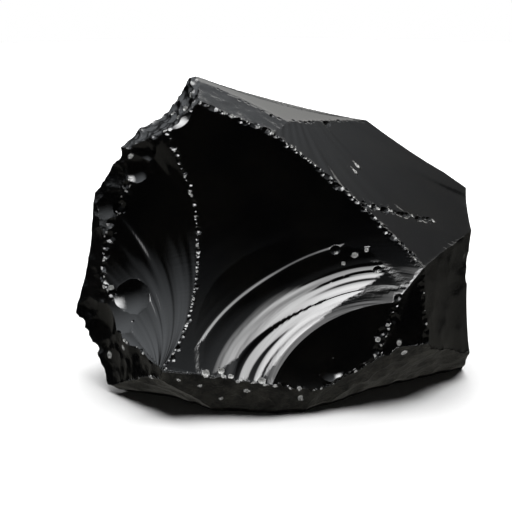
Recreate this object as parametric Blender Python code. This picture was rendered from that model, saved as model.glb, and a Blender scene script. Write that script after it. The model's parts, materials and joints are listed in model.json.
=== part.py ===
"""Obsidian chunk: one block of black volcanic glass, broken on every side.

Glass breaks in shells.  Every face of the stone is the hollow left by one struck
flake, so it is a piece of a large sphere, and the stone is a rough block with those
spheres cut away.  The spheres pass through shared corners, which is what puts the
ridges between the faces where they are.  Small chips then break the ridges, and the
bottom is one flat face that the stone rests on.

Lengths are in millimetres up to the last step, which writes the mesh in metres.
+Z is up and the great bowl faces -Y.
"""
import math

import bmesh
import bpy
import numpy as np

MM = 0.001
NAME = "obsidian_chunk"

# The corners below are drawn in a frame of their own.  The datum is the point of that
# frame that lies under the middle of the stone, and becomes the origin.
DATUM = np.array((5.2, 16.9, -2.0))
REST_HEIGHT = -2.0

# Rough block that the flakes are struck from.
BLOCK_LOW = (-54.0, -45.0, REST_HEIGHT)
BLOCK_HIGH = (66.0, 60.0, 90.0)

# Corners where ridges meet, and points that a face passes through.
CORNERS = {
    "rib_top": (-26.2, 15.0, 68.5),
    "rib_middle": (-16.4, 1.5, 37.6),
    "rib_foot": (-26.5, -27.4, 10.1),
    "bowl_left_foot": (-15.1, -24.5, 9.6),
    "bowl_crown": (18.1, 2.0, 37.2),
    "bowl_right": (41.9, -10.0, 30.0),
    "hollow_left": (4.1, -23.9, 6.8),
    "hollow_top": (20.5, -10.8, 19.8),
    "hollow_right": (31.1, -8.8, 25.5),
    "bowl_lip": (10.8, -26.0, 5.3),
    "bowl_right_foot": (32.7, -17.0, 12.0),
    "fan_left": (-43.9, 14.0, 36.8),
    "fan_low_left": (-43.4, 5.7, 24.5),
    "fan_high_left": (-36.8, 18.0, 52.9),
    "fan_top_left": (-33.1, 17.9, 63.2),
    "fan_foot": (-30.3, -15.1, 12.8),
    "crest_left": (-18.9, 18.4, 74.2),
    "crest_middle": (-5.2, 19.4, 71.7),
    "crest_right": (5.2, 18.2, 67.3),
    "shoulder": (29.5, 7.4, 49.5),
    "right_point": (45.1, -6.4, 36.1),
    "roof_left": (-15.6, 31.0, 81.3),
    "roof_front": (9.1, 25.7, 69.4),
    "roof_right": (33.7, 42.0, 66.8),
    "bevel_left": (-12.9, 29.0, 79.4),
    "bevel_right": (7.6, 25.2, 69.7),
    "shoulder_right": (52.2, 12.8, 42.8),
    "cheek_edge": (47.7, -9.0, 25.9),
    "side_top": (46.7, -8.1, 32.9),
    "side_foot": (47.8, -11.6, 13.6),
    "side_back": (63.0, 12.0, 26.0),
    "ground_left": (-34.7, -5.9, -2.0),
    "ground_right": (52.8, 7.0, -2.0),
    "lip_left": (3.8, -24.7, 6.2),
    "lip_right": (16.9, -22.7, 4.6),
    "lip_far_right": (35.0, -13.0, 6.7),
    "peak_back": (-20.5, 31.0, 81.1),
    "ear": (-39.8, 22.0, 64.2),
    "left_upper": (-47.4, 23.5, 49.5),
    "left_middle": (-50.5, 15.4, 34.9),
    "left_lower": (-52.4, 11.0, 15.5),
    "left_foot": (-44.4, -1.0, 5.3),
}

# One row a flake: name, the corners and free points that its face passes through, its
# radius (None where four points fix it) and the side that it is struck from.
FLAKES = (
    ("great_face", ("rib_top", "bowl_left_foot", "bowl_crown", "bowl_right"), None, (0, -1, 1)),
    ("bowl", ("bowl_left_foot", "bowl_crown", "bowl_right", "bowl_lip"), None, (0, -1, 1)),
    ("hollow", ("hollow_left", "hollow_top", "hollow_right"), 62.0, (0, -1, 1)),
    ("fan", ("rib_top", "rib_middle", "rib_foot", "fan_left"), None, (-1, -1, 1)),
    ("shoulder_face", ("crest_right", "shoulder", "roof_right"), 400.0, (1, -1, 1)),
    ("roof", ("roof_left", "roof_right", "roof_front"), 600.0, (0, 0, 1)),
    ("crest_bevel", ("bevel_left", "bevel_right", "crest_middle"), 300.0, (0, -0.5, 1)),
    ("cheek", ("shoulder", "right_point", "shoulder_right"), 300.0, (1, -0.5, 0.5)),
    ("low_cheek", ("bowl_right", "bowl_right_foot", "cheek_edge"), 200.0, (1, -1, 0)),
    ("side", ("side_top", "side_foot", "side_back"), 250.0, (1, -0.5, 0)),
    ("under_left", ("rib_foot", (-32.7, -7.3, -2.0), (-14.1, -17.9, -2.0)), 80.0, (-0.3, -1, -0.3)),
    ("under_middle", ("bowl_left_foot", "lip_left", (-1.6, -22.1, -2.0)), 150.0, (-0.3, -1, -0.3)),
    ("under_tip", ("lip_left", "lip_right", (13.7, -22.3, -2.0)), 150.0, (0, -1, 0)),
    ("under_right", ("lip_right", "bowl_right_foot", (16.0, -20.1, -2.0)), 150.0, (0.3, -1, -0.3)),
    ("under_far_right", ("lip_far_right", (19.3, -16.7, -2.0), "ground_right"), 220.0, (0.3, -1, -0.5)),
    ("back_left_upper", ("peak_back", "ear", "left_upper"), 250.0, (-1, 1, 0.5)),
    ("back_left_lower", ("left_upper", "left_lower", (-32.0, 48.0, 25.0)), 250.0, (-1, 1, 0)),
    ("under_back_left", ("left_lower", "left_foot", "ground_left"), 200.0, (-1, 0.2, -1)),
    ("rim_low", ("fan_low_left", "fan_left", (-51.8, 12.0, 19.2)), 90.0, (-1, -1, 0)),
    ("rim_middle", ("fan_left", "fan_high_left", "left_middle"), 90.0, (-1, -1, 0)),
    ("rim_high", ("fan_high_left", "fan_top_left", (-46.8, 23.6, 50.1)), 60.0, (-1, -1, 0.3)),
    ("ear_low", ("fan_top_left", (-42.6, 22.4, 58.7), (-40.5, 22.2, 62.6)), 40.0, (-1, -1, 0.3)),
    ("ear_high", ("fan_top_left", "rib_top", (-35.0, 24.6, 66.6)), 30.0, (-1, -1, 0.5)),
    ("neck", ("rib_top", "crest_left", (-28.8, 28.2, 70.1)), 20.0, (-1, -1, 0.5)),
    ("peak", ("crest_left", (-15.2, 19.7, 76.6), (-21.4, 30.5, 80.3)), 60.0, (-0.3, -1, 0.5)),
    ("lower_left", ("fan_low_left", "fan_foot", "left_lower"), 120.0, (-1, -1, -0.5)),
    ("back_right_upper", ("roof_right", (54.3, 35.3, 54.1), (30.0, 56.0, 40.0)), 200.0, (0.4, 0.8, 0.6)),
    ("back_right", ((54.3, 35.3, 54.1), (62.9, 30.8, 48.4), (50.0, 50.0, 10.0)), 150.0, (1, 0.5, 0.3)),
    ("right_upper", ((62.9, 30.8, 48.4), (61.8, 12.0, 34.0), (58.0, 40.0, 15.0)), 120.0, (1, 0, 0.3)),
    ("right_lower", ((62.6, 16.0, 24.0), (61.0, 14.0, 4.0), (56.0, 40.0, 5.0)), 200.0, (1, 0, -0.2)),
    ("back_upper", ("roof_left", "roof_right", (0.0, 54.0, 30.0)), 200.0, (0, 1, 0.5)),
    ("peak_behind", ((-15.0, 32.0, 80.4), "peak_back", (0.0, 56.0, 55.0)), 200.0, (-0.2, 1, 0.5)),
    ("back_lower", ((-14.0, 55.0, 18.0), (34.0, 56.0, 20.0), (8.0, 47.0, -2.0)), 90.0, (0, 1, -0.5)),
    ("back_low_right", ((60.0, 33.0, 16.0), (38.0, 54.0, 18.0), (47.0, 41.0, -2.0)), 70.0, (1, 1, -0.5)),
    ("back_low_left", ((-46.0, 20.0, 20.0), (-16.0, 52.0, 26.0), (-28.0, 34.0, -2.0)), 90.0, (-1, 1, -0.3)),
)

# Chips along the ridges: the two flakes that meet there, the stretch of the ridge, how
# many chips, and their radius and bite.
CHIP_ROWS = (
    ("great_face", "fan", "rib_top", "rib_foot", 9, (1.6, 3.0), (0.15, 0.4)),
    ("great_face", "shoulder_face", "crest_right", "shoulder", 8, (1.8, 3.6), (0.25, 0.6)),
    ("great_face", "cheek", "shoulder", "right_point", 6, (1.8, 3.6), (0.25, 0.6)),
    ("great_face", "crest_bevel", "crest_middle", "crest_right", 5, (1.8, 3.4), (0.3, 0.7)),
    ("shoulder_face", "cheek", "shoulder", "shoulder_right", 5, (1.6, 3.0), (0.2, 0.5)),
    ("hollow", "low_cheek", "bowl_right", "bowl_right_foot", 5, (2.0, 4.0), (0.4, 0.9)),
    ("hollow", "under_right", "lip_right", "bowl_right_foot", 6, (2.0, 4.0), (0.4, 0.9)),
    ("bowl", "under_middle", "bowl_left_foot", "lip_left", 6, (2.0, 4.0), (0.4, 0.9)),
    ("fan", "rim_low", "fan_low_left", "fan_left", 5, (2.0, 4.5), (0.5, 1.2)),
    ("fan", "rim_middle", "fan_left", "fan_high_left", 6, (2.0, 4.5), (0.5, 1.2)),
    ("fan", "lower_left", "fan_low_left", "fan_foot", 7, (2.2, 5.0), (0.5, 1.3)),
    ("fan", "rim_high", "fan_high_left", "fan_top_left", 4, (2.0, 4.0), (0.5, 1.2)),
    ("rim_middle", "back_left_lower", "left_middle", "left_upper", 5, (2.0, 4.0), (0.4, 1.0)),
    ("rim_high", "back_left_upper", "left_upper", "ear", 5, (2.0, 4.0), (0.4, 1.0)),
    ("lower_left", "under_back_left", "left_lower", "left_foot", 6, (2.5, 5.0), (0.4, 1.1)),
    ("shoulder_face", "back_right_upper", "roof_right", (54.3, 35.3, 54.1), 7, (2.0, 4.5), (0.4, 1.0)),
    ("side", "right_upper", "side_back", (62.0, 14.0, 30.0), 3, (2.5, 5.0), (0.4, 1.0)),
    ("roof", "back_upper", "roof_left", "roof_right", 6, (2.0, 4.5), (0.2, 0.6)),
    ("back_lower", "back_upper", (-14.0, 55.0, 18.0), (34.0, 56.0, 20.0), 7, (2.5, 5.5), (0.4, 1.2)),
    ("neck", "back_left_upper", (-28.8, 28.2, 70.1), "peak_back", 4, (1.8, 3.2), (0.4, 0.8)),
)
CHIP_SEED = 11

RING_STEP = 4.9
SECTORS = 30
FLAKE_REACH = 120.0
FLAKE_RISE = 130.0

GLASS_COLOR = (0.012, 0.012, 0.013, 1.0)
GLASS_ROUGHNESS = 0.12


def clear_scene():
    """Remove every object of the open scene."""
    for old in list(bpy.data.objects):
        bpy.data.objects.remove(old, do_unlink=True)


def point(spot):
    """A named corner, or a point given in place, as an array in millimetres."""
    return np.array(CORNERS[spot] if isinstance(spot, str) else spot, dtype=float)


def ball_through_four(spots):
    """Centre and radius of the sphere through four points."""
    rows = 2.0 * (spots[1:] - spots[0])
    sums = (spots[1:] ** 2).sum(axis=1) - (spots[0] ** 2).sum()
    centre = np.linalg.solve(rows, sums)
    return centre, float(np.linalg.norm(spots[0] - centre))


def ball_through_three(spots, radius, side):
    """Centre of the sphere of a given radius through three points, on the struck side."""
    first, second, third = spots
    along = second - first
    across = third - first
    normal = np.cross(along, across)
    area = float(normal @ normal)
    middle = first + (np.cross(normal, along) * (across @ across)
                      + np.cross(across, normal) * (along @ along)) / (2.0 * area)
    normal /= math.sqrt(area)
    if normal @ np.array(side, dtype=float) < 0.0:
        normal = -normal
    spread = float(np.linalg.norm(first - middle))
    return middle + normal * math.sqrt(radius ** 2 - spread ** 2), radius


def flake_balls():
    """Every flake's sphere: name to (centre, radius, middle of its face)."""
    balls = {}
    for name, spots, radius, side in FLAKES:
        spots = np.array([point(spot) for spot in spots])
        if radius is None:
            centre, radius = ball_through_four(spots)
        else:
            centre, radius = ball_through_three(spots, radius, side)
        balls[name] = (centre, radius, spots.mean(axis=0))
    return balls


def frame_about(axis):
    """Two unit vectors square to an axis and to each other."""
    helper = np.array((0.0, 0.0, 1.0)) if abs(axis[2]) < 0.9 else np.array((1.0, 0.0, 0.0))
    first = np.cross(axis, helper)
    first /= np.linalg.norm(first)
    return first, np.cross(axis, first)


def flake_rings(centre, radius, middle):
    """Rings of points on a sphere about the middle of a face, and its outward axis.

    The angle from the axis grows by one ring step at a time, to the flake's reach or
    to a quarter turn, whichever comes first.
    """
    axis = centre - middle
    axis /= np.linalg.norm(axis)
    first, second = frame_about(axis)
    last = min(FLAKE_REACH / radius, 0.5 * math.pi)
    count = max(4, math.ceil(last * radius / RING_STEP))
    angles = np.linspace(0.0, last, count + 1)[1:]
    turns = np.linspace(0.0, 2.0 * math.pi, SECTORS, endpoint=False)
    round_about = np.outer(np.cos(turns), first) + np.outer(np.sin(turns), second)
    rings = [centre - radius * (math.cos(a) * axis + math.sin(a) * round_about) for a in angles]
    return rings, axis


def flake_solid(name, centre, radius, middle):
    """Cutter of one flake: the sphere's face, carried straight out and closed."""
    rings, axis = flake_rings(centre, radius, middle)
    rings.append(rings[-1] + axis * FLAKE_RISE)
    pole = centre - radius * axis
    points = np.vstack([pole[None, :]] + rings)
    faces = [(0, 1 + (i + 1) % SECTORS, 1 + i) for i in range(SECTORS)]
    for ring in range(len(rings) - 1):
        low = 1 + ring * SECTORS
        for i in range(SECTORS):
            j = (i + 1) % SECTORS
            faces.append((low + i, low + j, low + SECTORS + j, low + SECTORS + i))
    top = 1 + (len(rings) - 1) * SECTORS
    faces.append(tuple(range(top, top + SECTORS)))
    return add_solid(name, points, faces)


def add_solid(name, points, faces):
    """New object from points in millimetres, with its faces turned outwards."""
    mesh = bpy.data.meshes.new(name)
    mesh.from_pydata(((points - DATUM) * MM).tolist(), [], faces)
    shape = bmesh.new()
    shape.from_mesh(mesh)
    bmesh.ops.recalc_face_normals(shape, faces=shape.faces)
    shape.to_mesh(mesh)
    shape.free()
    solid = bpy.data.objects.new(name, mesh)
    bpy.context.collection.objects.link(solid)
    return solid


def rough_block():
    """The block that the flakes are struck from, with its flat bottom."""
    low = np.array(BLOCK_LOW)
    high = np.array(BLOCK_HIGH)
    picks = np.array([(x, y, z) for z in (0, 1) for y in (0, 1) for x in (0, 1)])
    faces = [(0, 1, 3, 2), (4, 5, 7, 6), (0, 1, 5, 4), (2, 3, 7, 6), (0, 2, 6, 4), (1, 3, 7, 5)]
    return add_solid(NAME, low + picks * (high - low), faces)


def ridge_point(guess, one, other):
    """Point where two spheres meet, nearest to a guess, by projecting on each in turn."""
    spot = guess
    for _ in range(40):
        for centre, radius, _middle in (one, other):
            away = spot - centre
            spot = centre + away * (radius / np.linalg.norm(away))
    return spot


def ridge_chips(balls):
    """Centre and radius of every chip, spread unevenly along its ridge."""
    draw = np.random.default_rng(CHIP_SEED)
    chips = []
    for one, other, start, end, count, sizes, bites in CHIP_ROWS:
        start, end = point(start), point(end)
        for k in range(count):
            share = (k + draw.uniform(0.2, 0.8)) / count
            spot = ridge_point(start + share * (end - start), balls[one], balls[other])
            outward = sum((balls[n][0] - spot) / balls[n][1] for n in (one, other))
            outward /= np.linalg.norm(outward)
            outward += draw.normal(0.0, 0.22, 3)
            outward /= np.linalg.norm(outward)
            size = draw.uniform(*sizes)
            chips.append((spot + outward * (size - draw.uniform(*bites)), size))
    return chips


def chip_batches(chips):
    """The chips in groups in which no two touch, so that each group is one clean cutter."""
    batches = []
    for centre, size in chips:
        for batch in batches:
            if all(np.linalg.norm(centre - c) > size + s + 0.3 for c, s in batch):
                batch.append((centre, size))
                break
        else:
            batches.append([(centre, size)])
    return batches


def chip_solid(name, batch):
    """Cutter of one group of chips, each a small faceted ball."""
    shape = bmesh.new()
    for centre, size in batch:
        made = bmesh.ops.create_icosphere(shape, subdivisions=2, radius=size * MM)
        bmesh.ops.translate(shape, verts=made["verts"], vec=(centre - DATUM) * MM)
    mesh = bpy.data.meshes.new(name)
    shape.to_mesh(mesh)
    shape.free()
    solid = bpy.data.objects.new(name, mesh)
    bpy.context.collection.objects.link(solid)
    return solid


def strike(stone, cutter):
    """Take one cutter out of the stone, and drop the cutter."""
    cutter.hide_render = True
    cutter.display_type = "WIRE"
    cut = stone.modifiers.new(cutter.name, "BOOLEAN")
    cut.operation = "DIFFERENCE"
    cut.solver = "EXACT"
    cut.object = cutter
    graph = bpy.context.evaluated_depsgraph_get()
    mesh = bpy.data.meshes.new_from_object(stone.evaluated_get(graph))
    stone.modifiers.remove(cut)
    stone.data = mesh
    bpy.data.objects.remove(cutter, do_unlink=True)


def finish_mesh(stone):
    """Close hairline edges left by the cuts, and part every face in triangles."""
    shape = bmesh.new()
    shape.from_mesh(stone.data)
    bmesh.ops.remove_doubles(shape, verts=shape.verts, dist=0.00004)
    bmesh.ops.dissolve_degenerate(shape, edges=shape.edges, dist=0.00004)
    bmesh.ops.triangulate(shape, faces=shape.faces, quad_method="BEAUTY", ngon_method="BEAUTY")
    shape.to_mesh(stone.data)
    shape.free()
    stone.data.name = NAME


def glass():
    """Black volcanic glass."""
    material = bpy.data.materials.new("obsidian")
    material.use_nodes = True
    shader = material.node_tree.nodes["Principled BSDF"]
    shader.inputs["Base Color"].default_value = GLASS_COLOR
    shader.inputs["Roughness"].default_value = GLASS_ROUGHNESS
    shader.inputs["Metallic"].default_value = 0.0
    return material


def main():
    """Strike the stone from its block."""
    clear_scene()
    balls = flake_balls()
    stone = rough_block()
    for name, (centre, radius, middle) in balls.items():
        strike(stone, flake_solid(name, centre, radius, middle))
    for k, batch in enumerate(chip_batches(ridge_chips(balls))):
        strike(stone, chip_solid("chips_%d" % k, batch))
    finish_mesh(stone)
    stone.data.materials.clear()
    stone.data.materials.append(glass())


main()
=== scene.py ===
"""Obsidian chunk, dressed: black volcanic glass with rippled fracture faces.

The stone is a block with one large sphere cut away for every struck flake, as in the
solid part, but each sphere here carries the relief that breaking glass leaves: rings of
ripples round the struck point, streaks that fan out of a corner, and crushed rims made
of many small scoops.  Small chips break the ridges.  Lengths are in millimetres up to
the last step of each mesh, which writes metres.
"""

import json
import logging
import math
from dataclasses import dataclass
from enum import Enum

import bpy
import numpy as np
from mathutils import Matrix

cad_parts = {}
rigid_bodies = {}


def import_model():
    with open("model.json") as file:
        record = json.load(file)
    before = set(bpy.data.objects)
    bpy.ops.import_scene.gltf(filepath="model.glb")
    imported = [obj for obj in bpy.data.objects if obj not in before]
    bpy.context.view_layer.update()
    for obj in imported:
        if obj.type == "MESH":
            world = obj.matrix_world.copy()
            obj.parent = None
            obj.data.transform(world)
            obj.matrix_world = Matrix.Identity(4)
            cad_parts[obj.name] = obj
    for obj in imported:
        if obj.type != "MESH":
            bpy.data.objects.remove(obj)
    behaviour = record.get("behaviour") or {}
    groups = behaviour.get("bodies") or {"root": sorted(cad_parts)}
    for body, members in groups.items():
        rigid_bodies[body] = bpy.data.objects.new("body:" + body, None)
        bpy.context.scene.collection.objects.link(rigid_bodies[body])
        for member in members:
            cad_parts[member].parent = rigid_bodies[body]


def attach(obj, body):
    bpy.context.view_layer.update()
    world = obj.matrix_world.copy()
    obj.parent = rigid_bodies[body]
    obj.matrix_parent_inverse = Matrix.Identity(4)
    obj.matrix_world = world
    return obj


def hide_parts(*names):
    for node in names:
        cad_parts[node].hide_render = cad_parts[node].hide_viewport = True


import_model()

MM = 0.001
NAME = "obsidian_chunk"
LOG = logging.getLogger("obsidian")

Spot = tuple[float, float, float]
Pair = tuple[float, float]
Colour = tuple[float, float, float, float]
Array = np.ndarray

# The point of the drawing frame that becomes the origin, under the middle of the stone,
# and the rough block that the flakes are struck from.
DATUM = np.array((5.2, 16.9, -2.0))
REST_HEIGHT = -2.0
BLOCK_LOW = np.array((-54.0, -45.0, REST_HEIGHT))
BLOCK_HIGH = np.array((66.0, 60.0, 90.0))

FULL_TURN = 2.0 * math.pi
# A weave's usual slope, in its own height over one step of its lattice.
WEAVE_SLOPE = 0.4
# Marks of faces that no flake made, and how crushed each kind of face is.  Crumbled chips are painted
# near white: partly the pale of crushed glass, partly painted glints.
BLOCK, CHIPPED, CRUMBLED_GLINT = -1, -2, -3
CRUMBLED_GLINT_LEVEL, CHIPPED_LEVEL, BLOCK_LEVEL = 2.0, 0.12, 0.5


class Face(Enum):
    """How a face of the stone was left by its break."""

    CLEAN = 0.0
    BRUISED = 0.25
    SPLINTERED = 0.45
    CRUSHED = 1.0


class Ridge(Enum):
    """A ridge: the two flakes that meet there, and the corners that it runs between."""

    RIB = ("great_face", "fan", "rib_top", "rib_foot")
    CROWN = ("great_face", "shoulder_face", "crest_right", "shoulder")
    BROW = ("great_face", "cheek", "shoulder", "right_point")
    CREST = ("great_face", "crest_bevel", "crest_left", "crest_right")
    BEVEL = ("roof", "crest_bevel", "bevel_left", "bevel_right")
    SHOULDER = ("shoulder_face", "cheek", "shoulder", "shoulder_right")
    EAVES = ("shoulder_face", "roof", "roof_front", "roof_right")
    HOLLOW_SIDE = ("hollow", "low_cheek", "bowl_right", "bowl_right_foot")
    HOLLOW_FOOT = ("hollow", "under_right", "lip_right", "bowl_right_foot")
    TIP = ("hollow", "under_tip", "lip_left", "lip_right")
    BOWL_FOOT = ("bowl", "under_middle", "bowl_left_foot", "lip_left")
    RIM_LOW = ("fan", "rim_low", "fan_low_left", "fan_left")
    RIM_MIDDLE = ("fan", "rim_middle", "fan_left", "fan_high_left")
    RIM_HIGH = ("fan", "rim_high", "fan_high_left", "fan_top_left")
    FAN_FOOT = ("fan", "lower_left", "fan_low_left", "fan_foot")
    LEFT_MIDDLE = ("rim_middle", "back_left_lower", "left_middle", "left_upper")
    LEFT_UPPER = ("rim_high", "back_left_upper", "left_upper", "ear")
    LEFT_LOWER = ("lower_left", "under_back_left", "left_lower", "left_foot")
    BACK_RIGHT = ("shoulder_face", "back_right_upper", "roof_right", "back_right_corner")
    SIDE_FRONT = ("side", "low_cheek", "side_top", "side_foot")
    SIDE_BACK = ("side", "right_upper", "side_back", "side_back_top")
    SIDE_FOOT = ("side", "under_far_right", "lip_far_right", "ground_right")
    ROOF_BACK = ("roof", "back_upper", "roof_left", "roof_right")
    BACK = ("back_lower", "back_upper", "back_ridge_left", "back_ridge_right")
    NECK_BACK = ("neck", "back_left_upper", "neck_corner", "peak_back")
    NECK = ("neck", "great_face", "rib_top", "crest_left")


def smooth(share: Array) -> Array:
    """An S-shaped step from nought to one as the share runs from nought to one."""
    share = np.clip(share, 0.0, 1.0)
    return share * share * (3.0 - 2.0 * share)


def slope(degrees: float) -> float:
    """Rise over run of a slope in degrees."""
    return math.tan(math.radians(degrees))


def unit(vectors: Array) -> Array:
    """Vectors scaled to length one."""
    return vectors / np.linalg.norm(vectors, axis=-1, keepdims=True)


def square_to(axis: Array) -> tuple[Array, Array]:
    """Two unit vectors square to an axis and to each other.

    Args:
        axis: a unit vector.

    Returns:
        The two vectors, which with the axis make a right-handed frame.
    """
    helper = np.array((0.0, 0.0, 1.0)) if abs(axis[2]) < 0.9 else np.array((1.0, 0.0, 0.0))
    first = unit(np.cross(axis, helper))
    return first, np.cross(axis, first)


def weave(seed: int, one: Array, other: Array) -> Array:
    """Smooth noise of two measures: random values on a lattice, joined by S-shaped steps.

    Args:
        seed: picks the lattice.
        one: the first measure, in lattice steps.
        other: the second measure, in lattice steps.

    Returns:
        The noise, about one either side of nought.
    """
    size = 512
    lattice = np.random.default_rng(seed).normal(0.0, 1.0, (size, size))
    row, column = np.floor(one).astype(int), np.floor(other).astype(int)
    down, along = smooth(one - row), smooth(other - column)
    row, column = row % size, column % size
    under, beside = (row + 1) % size, (column + 1) % size
    upper = lattice[row, column] * (1.0 - along) + lattice[row, beside] * along
    lower = lattice[under, column] * (1.0 - along) + lattice[under, beside] * along
    return upper * (1.0 - down) + lower * down


@dataclass(frozen=True)
class Ball:
    """A sphere that one flake leaves its hollow on."""

    centre: Array
    radius: float

    @classmethod
    def through_four(cls, spots: Array) -> "Ball":
        """The sphere through four points."""
        rows = 2.0 * (spots[1:] - spots[0])
        sums = (spots[1:] ** 2).sum(axis=1) - (spots[0] ** 2).sum()
        centre = np.linalg.solve(rows, sums)
        return cls(centre, float(np.linalg.norm(spots[0] - centre)))

    @classmethod
    def through_three(cls, spots: Array, radius: float, side: Spot | Array) -> "Ball":
        """The sphere of a given radius through three points.

        Args:
            spots: the three points.
            radius: the sphere's radius.
            side: a direction from the points towards the sphere's centre.

        Returns:
            The sphere.
        """
        along, across = spots[1] - spots[0], spots[2] - spots[0]
        normal = np.cross(along, across)
        area = float(normal @ normal)
        middle = spots[0] + (np.cross(normal, along) * (across @ across)
                             + np.cross(across, normal) * (along @ along)) / (2.0 * area)
        normal = normal / math.sqrt(area)
        if normal @ np.array(side) < 0.0:
            normal = -normal
        spread = float(np.linalg.norm(spots[0] - middle))
        return cls(middle + normal * math.sqrt(radius ** 2 - spread ** 2), radius)

    def gap(self, spots: Array) -> Array:
        """How far points lie outside the sphere."""
        return np.linalg.norm(spots - self.centre, axis=-1) - self.radius

    def nearest(self, spot: Array) -> Array:
        """The point of the sphere nearest to a spot."""
        return self.centre + unit(spot - self.centre) * self.radius

    def polar(self, start: Array, middle: Array, spots: Array) -> tuple[Array, Array]:
        """Where points lie round a start, as seen over the sphere.

        A distance is the radius times the angle at the centre between point and start.
        A turn is the point's angle round the start, and is nought towards the middle.

        Args:
            start: the point that distances and turns are taken from.
            middle: the point towards which the turn is nought.
            spots: points near the sphere, one a row.

        Returns:
            The distances and the turns.
        """
        axis, ways = unit(start - self.centre), unit(spots - self.centre)
        second = unit(np.cross(axis, middle - self.centre))
        first = np.cross(second, axis)
        far = self.radius * np.arccos(np.clip(ways @ axis, -1.0, 1.0))
        return far, np.arctan2(ways @ second, ways @ first)


@dataclass(frozen=True)
class Step:
    """A steep little rise between two ripples, on a ring round the struck point.

    ``lean`` is its steepest slope in degrees.  Near the frayed end of the ripples the
    step may widen, and its ring may drift.
    """

    distance: float
    width: float
    lean: float
    widen: float = 0.0
    drift: float = 0.0
    fray: Spot = (0.0, 0.0, 0.0)
    reach: float = 1.0
    thinnest: float = 0.05

    def height(self, far: Array, spots: Array) -> Array:
        """The rise at each spot: an S-shaped step two thirds as steep as its middle.

        Args:
            far: distance of each spot from the struck point.
            spots: the spots.

        Returns:
            The rise.
        """
        apart = np.linalg.norm(spots - np.array(self.fray), axis=-1)
        near = smooth(1.0 - apart / self.reach)
        width = np.maximum(self.width + self.widen * near, self.thinnest)
        share = (far - self.distance - self.drift * near) / width
        return width * slope(self.lean) / 1.5 * smooth(share)


class Relief:
    """What the break left on a face, as a height at each point of its sphere."""

    def height(self, ball: Ball, middle: Array, spots: Array) -> Array:
        """Relief above the sphere.

        Args:
            ball: the flake's sphere.
            middle: the middle of its face.
            spots: points on the sphere, one a row.

        Returns:
            Heights towards the sphere's centre.
        """
        raise NotImplementedError


@dataclass(frozen=True)
class Rings(Relief):
    """Ripples round a struck point, given by the slope at each distance from it.

    Height is the running sum of minus the tangent of the slope, fixed at one distance,
    plus the steps, plus noise that is drawn out along the rings.  Near a foot the rings
    beyond that distance are stretched apart.
    """

    struck: Spot
    slopes: tuple[Pair, ...] = ((0.0, 0.0),)
    level: float = 0.0
    base: float = 0.0
    quiver: float = 0.0
    grain: float = 1.5
    length: float = 0.35
    seed: int = 1
    steps: tuple[Step, ...] = ()
    stretch: float = 0.0
    foot: Spot = (0.0, 0.0, 0.0)
    reach: float = 1.0

    def height(self, ball: Ball, middle: Array, spots: Array) -> Array:
        """Height of the ripples and steps: the base less the summed fall of the slopes.

        Args:
            ball: the flake's sphere.
            middle: the middle of its face.
            spots: points on the sphere, one a row.

        Returns:
            Heights towards the sphere's centre.
        """
        far, turn = ball.polar(np.array(self.struck), middle, spots)
        near = smooth(1.0 - np.linalg.norm(spots - np.array(self.foot), axis=-1) / self.reach)
        over = np.maximum(far - self.level, 0.0)
        far = far - over + over / (1.0 + self.stretch * near)
        pace = 0.05
        places = np.arange(0.0, 400.0, pace)
        rows = np.array(self.slopes)
        fall = np.cumsum(np.tan(np.radians(np.interp(places, rows[:, 0], rows[:, 1])))) * pace
        height = self.base - np.interp(far, places, fall) + np.interp(self.level, places, fall)
        steep = slope(self.quiver) * self.grain * WEAVE_SLOPE
        height = height + steep * weave(self.seed, far / self.grain, turn / self.length)
        return sum((step.height(far, spots) for step in self.steps), height)


@dataclass(frozen=True)
class Streaks(Relief):
    """Streaks that run out of a foot and all bend one way.

    A streak is told by its turn round the foot plus the curl times its distance.  The
    height is noise of that measure, drawn out along the streaks, times the distance,
    so that every streak is equally steep, up to the distance where it stops growing.
    """

    foot: Spot
    curl: float
    steep: float
    grain: float
    seed: int
    length: float = 14.0
    grown: float = 60.0

    def height(self, ball: Ball, middle: Array, spots: Array) -> Array:
        """Height of the streaks: distance times noise of the bent turn.

        Args:
            ball: the flake's sphere.
            middle: the middle of its face.
            spots: points on the sphere, one a row.

        Returns:
            Heights towards the sphere's centre.
        """
        far, turn = ball.polar(np.array(self.foot), middle, spots)
        turn = turn + self.curl * far
        height = slope(self.steep) * self.grain * WEAVE_SLOPE * np.minimum(far, self.grown)
        return height * weave(self.seed, turn / self.grain, far / self.length)


@dataclass(frozen=True)
class Patch(Relief):
    """A low plate, or a shallow pit where its rise is less than nought.

    The rise is met inside an oval and fades over its edge; the oval is told by its
    half width along a direction and its half width across it.
    """

    middle: Spot
    along: Spot
    half_long: float
    half_wide: float
    rise: float
    edge: float

    def height(self, ball: Ball, middle: Array, spots: Array) -> Array:
        """Height of the plate: its rise, fading over its edge.

        Args:
            ball: the flake's sphere.
            middle: the middle of its face.
            spots: points on the sphere, one a row.

        Returns:
            Heights towards the sphere's centre.
        """
        offset = spots - np.array(self.middle)
        axis = unit(np.array(self.along))
        long = offset @ axis
        wide = np.sqrt(np.maximum((offset ** 2).sum(axis=-1) - long ** 2, 0.0))
        share = np.hypot(long / self.half_long, wide / self.half_wide)
        return self.rise * smooth((1.0 - share) * self.half_wide / self.edge)


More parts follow.
